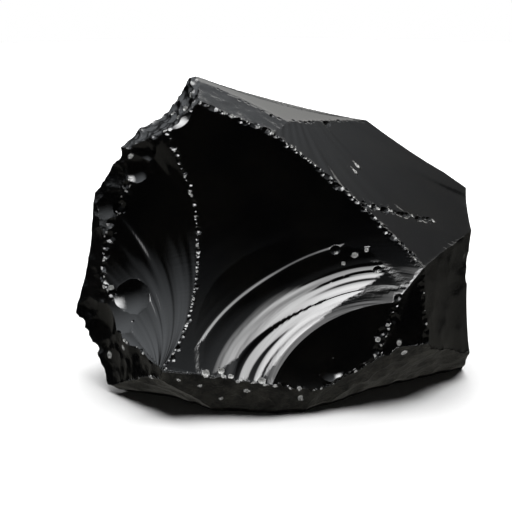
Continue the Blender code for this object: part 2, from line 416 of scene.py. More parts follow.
@dataclass(frozen=True)
class Scoops(Relief):
    """Small scoops bitten side by side out of a face.

    Each scoop is a shallow dish: its bite times one less the square of the distance
    from its middle over its size.  A point takes the deepest dish that it lies in, and
    the lift is added all over.
    """

    count: int
    reach: float
    sizes: Pair
    bites: Pair
    seed: int
    lift: float = 0.0
    batch: int = 4000

    def height(self, ball: Ball, middle: Array, spots: Array) -> Array:
        """Height of the scooped face: the lift less the deepest dish at each point.

        Args:
            ball: the flake's sphere.
            middle: the middle of its face.
            spots: points on the sphere, one a row.

        Returns:
            Heights towards the sphere's centre, none above the lift.
        """
        draw = np.random.default_rng(self.seed)
        axis = unit(middle - ball.centre)
        first, second = square_to(axis)
        lean = self.reach / ball.radius * np.sqrt(draw.uniform(0.0, 1.0, self.count))
        turn = draw.uniform(0.0, FULL_TURN, self.count)
        round_about = np.outer(np.cos(turn), first) + np.outer(np.sin(turn), second)
        middles = np.cos(lean)[:, None] * axis + np.sin(lean)[:, None] * round_about
        middles = ball.centre + ball.radius * middles
        sizes = draw.uniform(*self.sizes, self.count)
        bites = draw.uniform(*self.bites, self.count) * sizes / self.sizes[1]
        height = np.zeros(len(spots))
        for some in np.array_split(np.arange(len(spots)), max(1, len(spots) // self.batch)):
            apart = ((spots[some, None, :] - middles[None, :, :]) ** 2).sum(axis=-1)
            dish = bites * (1.0 - apart / sizes ** 2)
            height[some] = self.lift - np.maximum(dish.max(axis=1), 0.0)
        return height


CORNERS: dict[str, Spot] = {
    "rib_top": (-26.2, 15, 68.5),
    "rib_middle": (-16.4, 1.5, 37.6),
    "rib_foot": (-26.5, -27.4, 10.1),
    "bowl_left_foot": (-15.1, -24.5, 9.6),
    "bowl_crown": (18.1, 2, 37.2),
    "bowl_right": (41.9, -10, 30),
    "hollow_left": (4.1, -23.9, 6.8),
    "hollow_top": (20.5, -10.8, 19.8),
    "hollow_right": (31.1, -8.8, 25.5),
    "bowl_lip": (10.8, -26, 5.3),
    "bowl_right_foot": (32.7, -17, 12),
    "fan_left": (-43.9, 14, 36.8),
    "fan_low_left": (-43.4, 5.7, 24.5),
    "fan_high_left": (-36.8, 18, 52.9),
    "fan_top_left": (-33.1, 17.9, 63.2),
    "fan_foot": (-30.3, -15.1, 12.8),
    "crest_left": (-18.9, 18.4, 74.2),
    "crest_middle": (-5.2, 19.4, 71.7),
    "crest_right": (5.2, 18.2, 67.3),
    "shoulder": (29.5, 7.4, 49.5),
    "right_point": (45.1, -6.4, 36.1),
    "roof_left": (-15.6, 31, 81.3),
    "roof_front": (9.1, 25.7, 69.4),
    "roof_right": (33.7, 42, 66.8),
    "bevel_left": (-12.9, 29, 79.4),
    "bevel_right": (7.6, 25.2, 69.7),
    "shoulder_right": (52.2, 12.8, 42.8),
    "cheek_edge": (47.7, -9, 25.9),
    "side_top": (46.7, -8.1, 32.9),
    "side_foot": (47.8, -11.6, 13.6),
    "side_back": (63, 12, 26),
    "ground_left": (-34.7, -5.9, -2),
    "ground_right": (52.8, 7, -2),
    "lip_left": (3.8, -24.7, 6.2),
    "lip_right": (16.9, -22.7, 4.6),
    "lip_far_right": (35, -13, 6.7),
    "peak_back": (-20.5, 31, 81.1),
    "ear": (-39.8, 22, 64.2),
    "left_upper": (-47.4, 23.5, 49.5),
    "left_middle": (-50.5, 15.4, 34.9),
    "left_lower": (-52.4, 11, 15.5),
    "left_foot": (-44.4, -1, 5.3),
    "neck_corner": (-28.8, 28.2, 70.1),
    "side_back_top": (62, 14, 30),
    "back_right_corner": (54.3, 35.3, 54.1),
    "right_corner": (62.9, 30.8, 48.4),
    "back_ridge_left": (-14, 55, 18),
    "back_ridge_right": (34, 56, 20),
}


def place(spot: str | Spot) -> Array:
    """A named corner, or a point given in place, as an array."""
    return np.array(CORNERS[spot] if isinstance(spot, str) else spot, dtype=float)


@dataclass(frozen=True)
class Sowing:
    """How a sphere's points are spread: close where its face is, sparse elsewhere.

    A coarse survey of rings and turns finds where the face is.
    """

    survey_step: float = 1.5
    survey_turns: int = 180
    survey_reach: float = 160.0
    slack: float = 1.6
    margin: float = 2.0
    turn_margin: float = 0.06
    sparse_step: float = 8.0
    sparse_rings: int = 12
    sparse_turns: int = 10
    whole_from: float = 0.5


SOWING = Sowing()


@dataclass(frozen=True)
class Flake:
    """One struck flake: the face that it leaves, and the relief on that face.

    ``step`` and ``across`` are the spacing of the face's points, outwards from the
    struck point and round it, where it differs.  The sphere's centre is on the outer
    side of the face, or on the side that is given.
    """

    name: str
    spots: tuple[str | Spot, ...]
    radius: float = 0.0
    face: Face = Face.CLEAN
    relief: tuple[Relief, ...] = ()
    step: float = 1.3
    across: float | None = None
    struck: Spot | None = None
    side: Spot | None = None

    def ball(self) -> Ball:
        """The sphere of the face: through four corners, or through three at its radius."""
        spots = np.array([place(spot) for spot in self.spots])
        if len(spots) == 4:
            return Ball.through_four(spots)
        outward = self.middle() - (BLOCK_LOW + BLOCK_HIGH) / 2.0
        return Ball.through_three(spots, self.radius, outward if self.side is None else self.side)

    def middle(self) -> Array:
        """The middle of the face's corners."""
        return np.mean([place(spot) for spot in self.spots], axis=0)

    def pole(self) -> Array:
        """Direction from the sphere's centre to the point that the rings run round."""
        ball = self.ball()
        start = self.middle() if self.struck is None else np.array(self.struck)
        return unit(start - ball.centre)

    def height(self, spots: Array) -> Array:
        """Sum of the reliefs at points of the sphere."""
        ball, middle = self.ball(), self.middle()
        parts = (part.height(ball, middle, spots) for part in self.relief)
        return sum(parts, np.zeros(len(spots)))

    def skin(self, spots: Array) -> Array:
        """The points of the finished face straight below or above the given ones."""
        ball = self.ball()
        foot = ball.nearest(spots)
        return ball.centre + unit(foot - ball.centre) * (ball.radius - self.height(foot))[:, None]

    def grid(self, rings: Array, turns: Array) -> Array:
        """Points on the plain sphere, one for each ring and turn.

        The point is the centre plus the radius times (cosine of the ring's angle along
        the pole, plus its sine along the turn's direction).

        Args:
            rings: distances from the pole over the sphere.
            turns: angles round the pole.

        Returns:
            An array of rings by turns by three.
        """
        ball, axis = self.ball(), self.pole()
        first, second = square_to(axis)
        lean = (rings / ball.radius)[:, None, None]
        round_about = np.cos(turns)[None, :, None] * first + np.sin(turns)[None, :, None] * second
        return ball.centre + ball.radius * (np.cos(lean) * axis + np.sin(lean) * round_about)

    def spread(self, others: list[Ball]) -> tuple[Array, Array]:
        """Rings and turns, close together where the face is and wide apart elsewhere.

        Args:
            others: the spheres of all other flakes.

        Returns:
            Distances of the rings from the pole, and angles of the turns.
        """
        radius = self.ball().radius
        rings = np.arange(0.5, min(SOWING.survey_reach, 3.0 * radius), SOWING.survey_step)
        turns = np.linspace(0.0, FULL_TURN, SOWING.survey_turns, endpoint=False)
        spots = self.grid(rings, turns)
        slack = SOWING.slack
        held = ((spots > BLOCK_LOW - slack) & (spots < BLOCK_HIGH + slack)).all(axis=-1)
        for other in others:
            held &= other.gap(spots) > -slack
        near, far = rings[held.any(axis=1)][[0, -1]]
        near, far = max(near - SOWING.margin, 0.0), min(far + SOWING.margin, 3.05 * radius)
        dense = np.arange(max(near, self.step), far, self.step)
        before = np.linspace(0.0, dense[0], int(dense[0] / SOWING.sparse_step) + 2)[1:-1]
        after = np.linspace(dense[-1], math.pi * radius, SOWING.sparse_rings)[1:-1]
        return np.concatenate((before, dense, after)), self.turns(held.any(axis=0), turns, far)

    def turns(self, held: Array, turns: Array, far: float) -> Array:
        """Angles round the pole, close together over the face.

        Args:
            held: whether the face is met at each of the even turns.
            turns: the even turns.
            far: distance of the face's far side from the pole.

        Returns:
            Rising angles from the first, less than a full turn in all.
        """
        fine = (self.across or self.step) / min(far, self.ball().radius * 1.5)
        taken = np.flatnonzero(held)
        gaps = np.diff(np.append(taken, taken[0] + len(turns)))
        widest = int(gaps.argmax())
        bare = gaps[widest] * (turns[1] - turns[0])
        if bare < SOWING.whole_from:
            return np.linspace(0.0, FULL_TURN, int(FULL_TURN / fine), endpoint=False)
        start = turns[taken[(widest + 1) % len(taken)]] - SOWING.turn_margin
        width = FULL_TURN - bare + 2.0 * SOWING.turn_margin
        over = np.linspace(0.0, width, int(width / fine) + 2)
        rest = np.linspace(width, FULL_TURN, SOWING.sparse_turns)[1:-1]
        return start + np.concatenate((over, rest))

    def cutter(self, index: int, others: list[Ball]) -> bpy.types.Object:
        """The whole relieved sphere as a closed mesh.

        Args:
            index: the flake's number, which its faces carry.
            others: the spheres of all other flakes.

        Returns:
            The cutter.
        """
        ball, axis = self.ball(), self.pole()
        rings, turns = self.spread(others)
        ends = ball.centre + ball.radius * np.array((axis, -axis))
        spots = np.vstack((self.grid(rings, turns).reshape(-1, 3), ends))
        spots = spots + self.height(spots)[:, None] * unit(ball.centre - spots)
        return solid(self.name, spots, closed_faces(len(rings), len(turns)), index)


def closed_faces(rows: int, columns: int) -> tuple[Array, Array, Array]:
    """Faces of a closed ball-like grid whose two ends come after its rows.

    Args:
        rows: number of rows.
        columns: points in a row.

    Returns:
        The quads between the rows, and the triangles at the first and the last end.
    """
    here = np.arange(columns)
    after = (here + 1) % columns
    low = np.arange(rows - 1)[:, None] * columns
    quads = np.stack((low + here, low + columns + here, low + columns + after, low + after), axis=-1)
    first, last = rows * columns, rows * columns + 1
    top = np.stack((np.full(columns, first), here, after), axis=-1)
    base = (rows - 1) * columns
    bottom = np.stack((np.full(columns, last), base + after, base + here), axis=-1)
    return quads.reshape(-1, 4), top, bottom


def link(name: str, data: bpy.types.ID) -> bpy.types.Object:
    """A new object for a mesh, light or camera, linked to the scene."""
    thing = bpy.data.objects.new(name, data)
    bpy.context.collection.objects.link(thing)
    return thing


def read(items: bpy.types.bpy_prop_collection, key: str, width: int = 1, kind: type = np.int32) -> Array:
    """One property of every item, as an array with the given width a row."""
    values = np.empty(len(items) * width, dtype=kind)
    items.foreach_get(key, values)
    return values if width == 1 else values.reshape(-1, width)


def solid(name: str, spots: Array, groups: tuple[Array, ...], index: int) -> bpy.types.Object:
    """New object from points in millimetres and groups of faces.

    Args:
        name: name of the mesh and object.
        spots: the points.
        groups: arrays of faces, each array with one number of corners.
        index: the number that the faces carry.

    Returns:
        The new object, linked to the scene.
    """
    mesh = bpy.data.meshes.new(name)
    corners = np.concatenate([group.ravel() for group in groups]).astype(np.int32)
    sides = np.concatenate([np.full(len(group), group.shape[1]) for group in groups])
    starts = np.concatenate(((0,), np.cumsum(sides)[:-1])).astype(np.int32)
    mesh.vertices.add(len(spots))
    mesh.vertices.foreach_set("co", ((spots - DATUM) * MM).astype(np.float32).ravel())
    mesh.loops.add(len(corners))
    mesh.loops.foreach_set("vertex_index", corners)
    mesh.polygons.add(len(starts))
    mesh.polygons.foreach_set("loop_start", starts)
    mesh.update(calc_edges=True)
    made = mesh.attributes.new("flake", "INT", "FACE")
    made.data.foreach_set("value", np.full(len(starts), index, dtype=np.int32))
    return link(name, mesh)


# Where the flakes were struck, and the two ends at which the bowl's steps fray.
BOWL_STRUCK: Spot = (31, -30.3, 4.65)
FAN_FOOT: Spot = (-26.9, -26.5, 10.6)
SHOULDER_FOOT: Spot = (10, 44, 78)
FRAYED_FOOT: Spot = (-2, -24, 8)
FRAYED_CREST: Spot = (30, -8, 30)

# Scoops of the splintered and the crushed faces, coarse and fine.
RIM_SCOOPS = (Scoops(150, 24, (2, 4.6), (0.25, 0.9), 3, 0.4),
              Scoops(700, 24, (0.8, 1.7), (0.05, 0.2), 4, 0.05))
PEAK_SCOOPS = (Scoops(170, 20, (1.5, 3.2), (0.4, 1.2), 23, 0.5),
               Scoops(600, 20, (0.7, 1.4), (0.05, 0.25), 24, 0.06))
UNDER_SCOOPS = (Scoops(170, 36, (2.2, 5), (0.4, 1.3), 5, 0.5),
                Scoops(900, 36, (0.8, 1.9), (0.08, 0.35), 6, 0.08))

# The bowl: slope at each distance from the struck point, and its steps.
BOWL_SLOPES = ((0, 5), (29, 8), (33, 8.5), (36.5, 8), (40, 6), (42, 3.5), (43.5, 0),
               (45, -4), (46.6, -5), (47.1, 9), (47.9, 9), (48.4, 0), (60, 0))
BOWL_STEPS = (Step(33, 0.35, 24, 1.9, 2.2, FRAYED_FOOT, 34),
              Step(31, 0.02, 14, 1.4, 0.8, FRAYED_FOOT, 26),
              Step(37.5, 0.02, 16, 0.8, 0.6, FRAYED_CREST, 20),
              Step(40.3, 0.02, 12, 0.7, 0, FRAYED_CREST, 24),
              Step(35.4, 0.02, 6, 0.9, 0.3, FRAYED_CREST, 26),
              Step(29.4, 0.02, 16, 0.6, 0.6, FRAYED_FOOT, 20))


def ripples(struck: Spot, seed: int, quiver: float = 1.4, grain: float = 2.0,
            slopes: tuple[Pair, ...] = ((0.0, 0.0),)) -> tuple[Relief, ...]:
    """Plain soft ripples round a struck point, as the relief of a whole face.

    Args:
        struck: the struck point.
        seed: picks the noise.
        quiver: usual slope of the ripples, in degrees.
        grain: their spacing.
        slopes: slope of the face at distances from the struck point.

    Returns:
        The relief.
    """
    return (Rings(struck, slopes, quiver=quiver, grain=grain, seed=seed),)


FLAKES: tuple[Flake, ...] = (
    Flake("great_face", ("rib_top", "bowl_left_foot", "bowl_crown", "bowl_right"),
          relief=(Rings(BOWL_STRUCK, ((0, -1.2), (37, -1.2), (39, 0), (60, 0)), 39,
                        quiver=0.5, grain=2.2, length=0.5, seed=21),),
          step=0.9, across=1.9, struck=BOWL_STRUCK),
    Flake("bowl", ("bowl_left_foot", "bowl_crown", "bowl_right", "bowl_lip"),
          relief=(Rings(BOWL_STRUCK, BOWL_SLOPES, 29, 1.2, quiver=1.5, grain=1.3, length=0.5, seed=5,
                        steps=BOWL_STEPS, stretch=0.22, foot=FRAYED_FOOT, reach=36),),
          step=0.3, across=1.15, struck=BOWL_STRUCK),
    Flake("hollow", ("hollow_left", "hollow_top", "hollow_right"), 62,
          relief=(Rings(BOWL_STRUCK, ((0, -3), (29, -5)), 29, 1.2, quiver=0.3, grain=2, seed=9),),
          step=0.8, across=1.4, struck=BOWL_STRUCK, side=(0, -1, 1)),
    Flake("fan", ("rib_top", "rib_middle", "rib_foot", "fan_left"),
          relief=(Streaks(FAN_FOOT, 0.007, 7, 0.1, 12, 30), Streaks(FAN_FOOT, 0.007, 6, 0.04, 13, 24)),
          step=0.68, across=0.9, struck=FAN_FOOT),
    Flake("shoulder_face", ("crest_right", "shoulder", "roof_right"), 400,
          relief=(Streaks(SHOULDER_FOOT, 0.004, 3.8, 0.05, 31, 20),), step=2, across=0.7,
          struck=SHOULDER_FOOT),
    Flake("roof", ("roof_left", "roof_right", "roof_front"), 600,
          relief=ripples((-60, 30, 92), 41, 0.8), step=1.2, across=1.6),
    Flake("crest_bevel", ("bevel_left", "bevel_right", "crest_middle"), 300, Face.BRUISED,
          (Scoops(70, 18, (1.8, 4), (0.06, 0.22), 7, 0.12),
           Scoops(300, 18, (0.7, 1.6), (0.02, 0.08), 8, 0.02)),
          step=0.8),
    Flake("cheek", ("shoulder", "right_point", "shoulder_right"), 300,
          relief=ripples((70, 5, 35), 51, 0.5), step=1.3, across=1.6),
    Flake("low_cheek", ("bowl_right", "bowl_right_foot", "cheek_edge"), 200,
          relief=ripples((45, -18, 5), 61, 0.8), step=1.1, across=1.4),
    Flake("side", ("side_top", "side_foot", "side_back"), 250, Face.BRUISED,
          ripples((60, 0, 45), 71, 1.5, 1.8) + (Scoops(90, 30, (3, 6), (0.1, 0.5), 9),),
          step=1, across=1.15),
    Flake("under_left", ("rib_foot", (-32.7, -7.3, -2), (-14.1, -17.9, -2)), 80,
          Face.CRUSHED, UNDER_SCOOPS, step=0.76),
    Flake("under_middle", ("bowl_left_foot", "lip_left", (-1.6, -22.1, -2)), 150,
          Face.CRUSHED, UNDER_SCOOPS, step=0.74),
    Flake("under_tip", ("lip_left", "lip_right", (13.7, -22.3, -2)), 150,
          Face.CRUSHED, UNDER_SCOOPS, step=0.7),
    Flake("under_right", ("lip_right", "bowl_right_foot", (16, -20.1, -2)), 150,
          Face.CRUSHED, UNDER_SCOOPS, step=0.74),
    Flake("under_far_right", ("lip_far_right", (19.3, -16.7, -2), "ground_right"), 220,
          Face.CRUSHED, UNDER_SCOOPS, step=0.95),
    Flake("back_left_upper", ("peak_back", "ear", "left_upper"), 250,
          relief=ripples((-35, 25, 75), 81, 1.2, 1.8, ((0, 0), (10, 2), (30, 0))), across=1.6),
    Flake("back_left_lower", ("left_upper", "left_lower", (-32, 48, 25)), 250,
          relief=ripples((-45, 15, 5), 82), across=1.6),
    Flake("under_back_left", ("left_lower", "left_foot", "ground_left"), 200, Face.BRUISED,
          (Scoops(90, 30, (2.5, 6), (0.2, 0.8), 14),), step=2),
    Flake("rim_low", ("fan_low_left", "fan_left", (-51.8, 12, 19.2)), 90,
          Face.SPLINTERED, RIM_SCOOPS, step=0.64),
    Flake("rim_middle", ("fan_left", "fan_high_left", "left_middle"), 90,
          Face.SPLINTERED, RIM_SCOOPS, step=0.5),
    Flake("rim_high", ("fan_high_left", "fan_top_left", (-46.8, 23.6, 50.1)), 60,
          Face.SPLINTERED, RIM_SCOOPS, step=0.5),
    Flake("ear_low", ("fan_top_left", (-42.6, 22.4, 58.7), (-40.5, 22.2, 62.6)), 40,
          Face.SPLINTERED, RIM_SCOOPS, step=0.4),
    Flake("ear_high", ("fan_top_left", "rib_top", (-35, 24.6, 66.6)), 30,
          Face.SPLINTERED, PEAK_SCOOPS, step=0.45),
    Flake("neck", ("rib_top", "crest_left", "neck_corner"), 20, Face.SPLINTERED, PEAK_SCOOPS, step=0.5),
    Flake("peak", ("crest_left", (-15.2, 19.7, 76.6), (-21.4, 30.5, 80.3)), 60,
          Face.SPLINTERED, PEAK_SCOOPS, step=0.45),
    Flake("lower_left", ("fan_low_left", "fan_foot", "left_lower"), 120, Face.SPLINTERED,
          UNDER_SCOOPS + (Patch((-37.5, -5.5, 16.5), (0.43, -0.82, -0.38), 16, 6, 1.8, 5),),
          step=0.66),
    Flake("back_right_upper", ("roof_right", "back_right_corner", (30, 56, 40)), 200,
          relief=ripples((40, 40, 68), 91, 1.4, 1.6, ((0, 0), (12, 3), (25, 0))), across=1.6),
    Flake("back_right", ("back_right_corner", "right_corner", (50, 50, 10)), 150,
          relief=ripples((62, 35, 0), 92, 1.3), across=1.6),
    Flake("right_upper", ("right_corner", (61.8, 12, 34), (58, 40, 15)), 120,
          relief=ripples((62, 30, 50), 93, 1.3), across=1.6),
    Flake("right_lower", ((62.6, 16, 24), (61, 14, 4), (56, 40, 5)), 200,
          Face.BRUISED, (Scoops(90, 30, (3, 6.5), (0.2, 0.7), 15),), step=1.2),
    Flake("back_upper", ("roof_left", "roof_right", (0, 54, 30)), 200,
          relief=(Rings((10, 40, 75), ((0, 0), (15, 3), (40, -1), (60, 2)), 30,
                        quiver=1.6, grain=1.6, seed=94),), step=1.3, across=2.2, struck=(10, 40, 75)),
    Flake("peak_behind", ((-15, 32, 80.4), "peak_back", (0, 56, 55)), 200,
          relief=ripples((-20, 33, 80), 95, grain=1.6), across=1.6),
    Flake("back_lower", ("back_ridge_left", "back_ridge_right", (8, 47, -2)), 90,
          Face.BRUISED, (Scoops(120, 40, (3, 7), (0.2, 0.9), 16),), step=1.5),
    Flake("back_low_right", ((60, 33, 16), (38, 54, 18), (47, 41, -2)), 70,
          relief=ripples((50, 45, 20), 96), across=1.6),
    Flake("back_low_left", ((-46, 20, 20), (-16, 52, 26), (-28, 34, -2)), 90,
          relief=ripples((-30, 35, 25), 97), across=1.6),
)


@dataclass(frozen=True)
class ChipRow:
    """A row of chips along a ridge.

    The chips stand evenly with some play, or at the given shares of the way.  ``shine``
    turns them from the ridge's own outward way towards the one that shines.
    """

    ridge: Ridge
    count: int
    sizes: Pair
    bites: Pair
    jitter: float = 0.25
    shine: float = 0.0
    shares: tuple[float, ...] = ()


@dataclass(frozen=True)
class Nick:
    """One chip of its own on a flake: a spot, a radius, a bite, and the way it faces."""

    flake: str
    spot: Spot
    size: float
    bite: float
    faces: Spot | None = None


# Least and greatest radius of each sort of chip.
GLINT_CRUMB: Pair = (0.35, 0.75)
FINE: Pair = (0.7, 1.2)
BEADS: Pair = (1.2, 2.4)
GLINTS: Pair = (3.4, 5.4)
SMALL: Pair = (1.4, 2.8)
BROAD: Pair = (2.4, 5)

CHIP_ROWS: tuple[ChipRow, ...] = (
    ChipRow(Ridge.RIB, 70, BEADS, (0.06, 0.22), 0.3, 0.5),
    ChipRow(Ridge.RIB, 0, GLINTS, (0.1, 0.18), 0.05, 1, (0.1, 0.16, 0.27, 0.37, 0.48, 0.52, 0.6, 0.73)),
    ChipRow(Ridge.CROWN, 44, BEADS, (0.06, 0.22), 0.3, 0.4),
    ChipRow(Ridge.CROWN, 0, GLINTS, (0.1, 0.2), 0.05, 0.9, (0.04, 0.54, 0.66, 0.8, 0.88, 0.98)),
    ChipRow(Ridge.BROW, 24, BEADS, (0.06, 0.2), 0.3, 0.4),
    ChipRow(Ridge.BROW, 0, GLINTS, (0.08, 0.14), 0.06, 0.9, (0.12, 0.28, 0.62, 0.75)),
    ChipRow(Ridge.CREST, 26, BEADS, (0.08, 0.3), 0.3, 0.3),
    ChipRow(Ridge.CREST, 0, GLINTS, (0.1, 0.2), 0.08, 0.9, (0.1, 0.3, 0.48, 0.8, 0.97)),
    ChipRow(Ridge.BEVEL, 10, BEADS, (0.04, 0.12)),
    ChipRow(Ridge.SHOULDER, 22, BEADS, (0.05, 0.15), 0.3, 0.25),
    ChipRow(Ridge.SHOULDER, 0, (1.6, 2.4), (0.1, 0.16), 0.08, 0.8, (0.1, 0.22, 0.36, 0.55, 0.6, 0.8)),
    ChipRow(Ridge.EAVES, 16, BEADS, (0.04, 0.12)),
    ChipRow(Ridge.HOLLOW_SIDE, 16, BEADS, (0.1, 0.4), 0.4, 0.4),
    ChipRow(Ridge.HOLLOW_FOOT, 18, BEADS, (0.1, 0.4), 0.4, 0.4),
    ChipRow(Ridge.TIP, 6, BEADS, (0.06, 0.2), 0.4),
    ChipRow(Ridge.RIM_LOW, 8, SMALL, (0.1, 0.3), 0.4, 0.5),
    ChipRow(Ridge.RIM_MIDDLE, 8, SMALL, (0.08, 0.25), 0.5, 0.3),
    ChipRow(Ridge.RIM_HIGH, 8, SMALL, (0.08, 0.3), 0.5, 0.3),
    ChipRow(Ridge.FAN_FOOT, 8, BEADS, (0.08, 0.25), 0.5),
    ChipRow(Ridge.LEFT_MIDDLE, 6, SMALL, (0.06, 0.2), 0.4),
    ChipRow(Ridge.LEFT_UPPER, 6, SMALL, (0.08, 0.25), 0.4),
    ChipRow(Ridge.LEFT_LOWER, 6, SMALL, (0.08, 0.25), 0.4),
    ChipRow(Ridge.BACK_RIGHT, 8, FINE, (0.03, 0.08)),
    ChipRow(Ridge.SIDE_FRONT, 14, SMALL, (0.1, 0.4), 0.3, 0.3),
    ChipRow(Ridge.SIDE_BACK, 4, BROAD, (0.3, 0.9)),
    ChipRow(Ridge.SIDE_FOOT, 14, SMALL, (0.2, 0.6)),
    ChipRow(Ridge.ROOF_BACK, 6, FINE, (0.03, 0.08)),
    ChipRow(Ridge.BACK, 14, SMALL, (0.08, 0.3), 0.4),
    ChipRow(Ridge.NECK_BACK, 7, SMALL, (0.2, 0.5)),
    ChipRow(Ridge.NECK, 14, BEADS, (0.1, 0.4), 0.3, 0.7),
    ChipRow(Ridge.NECK, 0, (5, 7), (0.3, 0.45), 0.04, 1, (0.22, 0.36, 0.75)),
)

NICKS: tuple[Nick, ...] = (
    Nick("fan", (-40.6, 1.9, 20.95), 16, 0.24),
    Nick("fan", (-35, -3.9, 17.9), 26, 0.16, (-0.42, -0.52, 0.74)),
    Nick("fan", (-34.6, -3.6, 17.6), 0.9, 0.25, (-0.42, -0.52, 0.74)),
    Nick("lower_left", (-45, 3, 14.5), 16, 0.6, (-0.67, -0.68, 0.29)),
    Nick("fan", (-40.1, 18.1, 49.9), 14, 0.35, (-0.7, -0.7, 0.12)),
    Nick("fan", (-37, 18, 54.2), 8, 0.35),
    Nick("rim_middle", (-34.6, 18.6, 59.4), 6, 0.4),
    Nick("neck", (-21.9, 17.4, 71.2), 10, 0.35),
    Nick("bowl", (22.7, 1, 36.7), 4, 0.15),
    Nick("bowl", (34, -4.7, 33), 4, 0.15),
    Nick("hollow", (22.7, -19.6, 7.5), 7, 0.3),
)

# Rows of crumbs: tiny chips whose faces the glass paints near white, partly the pale of crushed glass
# and partly painted glints along the ridges.
GLINT_CRUMB_ROWS: tuple[ChipRow, ...] = (
    ChipRow(Ridge.RIB, 12, GLINT_CRUMB, (0.12, 0.3)),
    ChipRow(Ridge.CROWN, 18, GLINT_CRUMB, (0.12, 0.3)),
    ChipRow(Ridge.BROW, 8, GLINT_CRUMB, (0.12, 0.3)),
    ChipRow(Ridge.CREST, 14, GLINT_CRUMB, (0.15, 0.35)),
    ChipRow(Ridge.SHOULDER, 10, GLINT_CRUMB, (0.12, 0.3)),
    ChipRow(Ridge.HOLLOW_SIDE, 9, GLINT_CRUMB, (0.15, 0.35), 0.4),
    ChipRow(Ridge.HOLLOW_FOOT, 9, GLINT_CRUMB, (0.15, 0.35), 0.4),
    ChipRow(Ridge.BOWL_FOOT, 6, GLINT_CRUMB, (0.15, 0.35), 0.4),
    ChipRow(Ridge.TIP, 4, GLINT_CRUMB, (0.15, 0.35), 0.4),
    ChipRow(Ridge.RIM_LOW, 7, GLINT_CRUMB, (0.15, 0.35), 0.4),
    ChipRow(Ridge.RIM_MIDDLE, 10, GLINT_CRUMB, (0.15, 0.35), 0.4),
    ChipRow(Ridge.RIM_HIGH, 9, GLINT_CRUMB, (0.15, 0.35), 0.4),
    ChipRow(Ridge.FAN_FOOT, 10, GLINT_CRUMB, (0.15, 0.35), 0.4),
    ChipRow(Ridge.NECK, 12, GLINT_CRUMB, (0.15, 0.35), 0.4),
    ChipRow(Ridge.NECK_BACK, 6, GLINT_CRUMB, (0.15, 0.35), 0.4),
    ChipRow(Ridge.BACK, 10, GLINT_CRUMB, (0.12, 0.3)),
    ChipRow(Ridge.SIDE_FRONT, 5, GLINT_CRUMB, (0.12, 0.3)),
    ChipRow(Ridge.SIDE_BACK, 4, GLINT_CRUMB, (0.12, 0.3)),
)

# Crumbs set one by one: painted glints where ridges and feet sparkle, partly the pale of crushed glass.
GLINT_CRUMBS: tuple[Nick, ...] = (
    Nick("bowl", (-13.5, -23.6, 9.8), 1.1, 0.6),
    Nick("bowl", (-9.5, -22.4, 9.7), 1.1, 0.6),
    Nick("bowl", (-6.8, -23.4, 8.3), 0.9, 0.55),
    Nick("bowl", (1.6, -23.7, 7), 1.1, 0.6),
    Nick("bowl", (27.7, -0.4, 36.3), 0.9, 0.5),
    Nick("bowl", (22.7, 1, 36.7), 0.5, 0.3),
    Nick("great_face", (31, -0.3, 37.7), 0.6, 0.35),
    Nick("bowl", (24.6, -1, 34.1), 0.6, 0.35),
    Nick("bowl", (34, -4.7, 33), 0.6, 0.35),
    Nick("great_face", (-19.2, 9.6, 51.7), 0.9, 0.5),
    Nick("fan", (-41.6, 6, 24.5), 0.9, 0.5),
    Nick("fan", (-37, 18, 54.2), 0.9, 0.5),
    Nick("rim_high", (-36.4, 20.1, 60), 1, 0.6),
    Nick("rim_middle", (-34.3, 18.6, 59.4), 1.1, 0.7),
    Nick("rim_middle", (-32.5, 18, 61), 0.8, 0.45),
    Nick("fan", (-31.3, 17, 58.3), 0.7, 0.4),
    Nick("rim_high", (-37, 19, 54.9), 0.7, 0.4),
    Nick("neck", (-26, 17.9, 68.3), 0.8, 0.45),
    Nick("neck", (-24.4, 26.9, 71.6), 0.7, 0.4),
    Nick("neck", (-20.8, 24.5, 73.6), 0.9, 0.5),
    Nick("neck", (-23, 23.5, 71.5), 0.6, 0.35),
    Nick("neck", (-19.1, 26.2, 77.1), 0.7, 0.4),
    Nick("neck", (-23.4, 29.9, 75), 0.6, 0.35),
    Nick("shoulder_face", (29.7, 22.3, 57.1), 0.6, 0.3),
    Nick("shoulder_face", (28.9, 19.5, 56), 0.5, 0.25),
    Nick("hollow", (33.7, -14.5, 15.9), 0.7, 0.4),
    Nick("hollow", (35.7, -13.4, 18.5), 0.6, 0.35),
    Nick("low_cheek", (39.6, -13.8, 14.8), 0.7, 0.4),
    Nick("under_right", (41.2, -12.5, 11.4), 0.7, 0.4),
    Nick("under_middle", (-15.1, -23.4, 5.9), 0.5, 0.3),
    Nick("under_middle", (-2.6, -23.6, 4.5), 0.65, 0.4),
    Nick("under_middle", (-20.9, -24.2, 8.2), 0.4, 0.25),
    Nick("under_middle", (-9.4, -22.5, 2.1), 0.45, 0.3),
    Nick("under_left", (-28.8, -20.7, 7.2), 0.7, 0.4),
    Nick("under_tip", (12.1, -22.9, 2.2), 0.7, 0.4),
    Nick("lower_left", (-41.7, -3, 7.4), 0.9, 0.55),
    Nick("lower_left", (-36.7, -7.1, 11), 0.7, 0.45),
)

# A chip shines when it faces halfway between these two places.
SHINE_FROM = np.array((-45.0, -30.0, 185.0))
SHINE_TO = np.array((0.0, -384.5, 146.25))


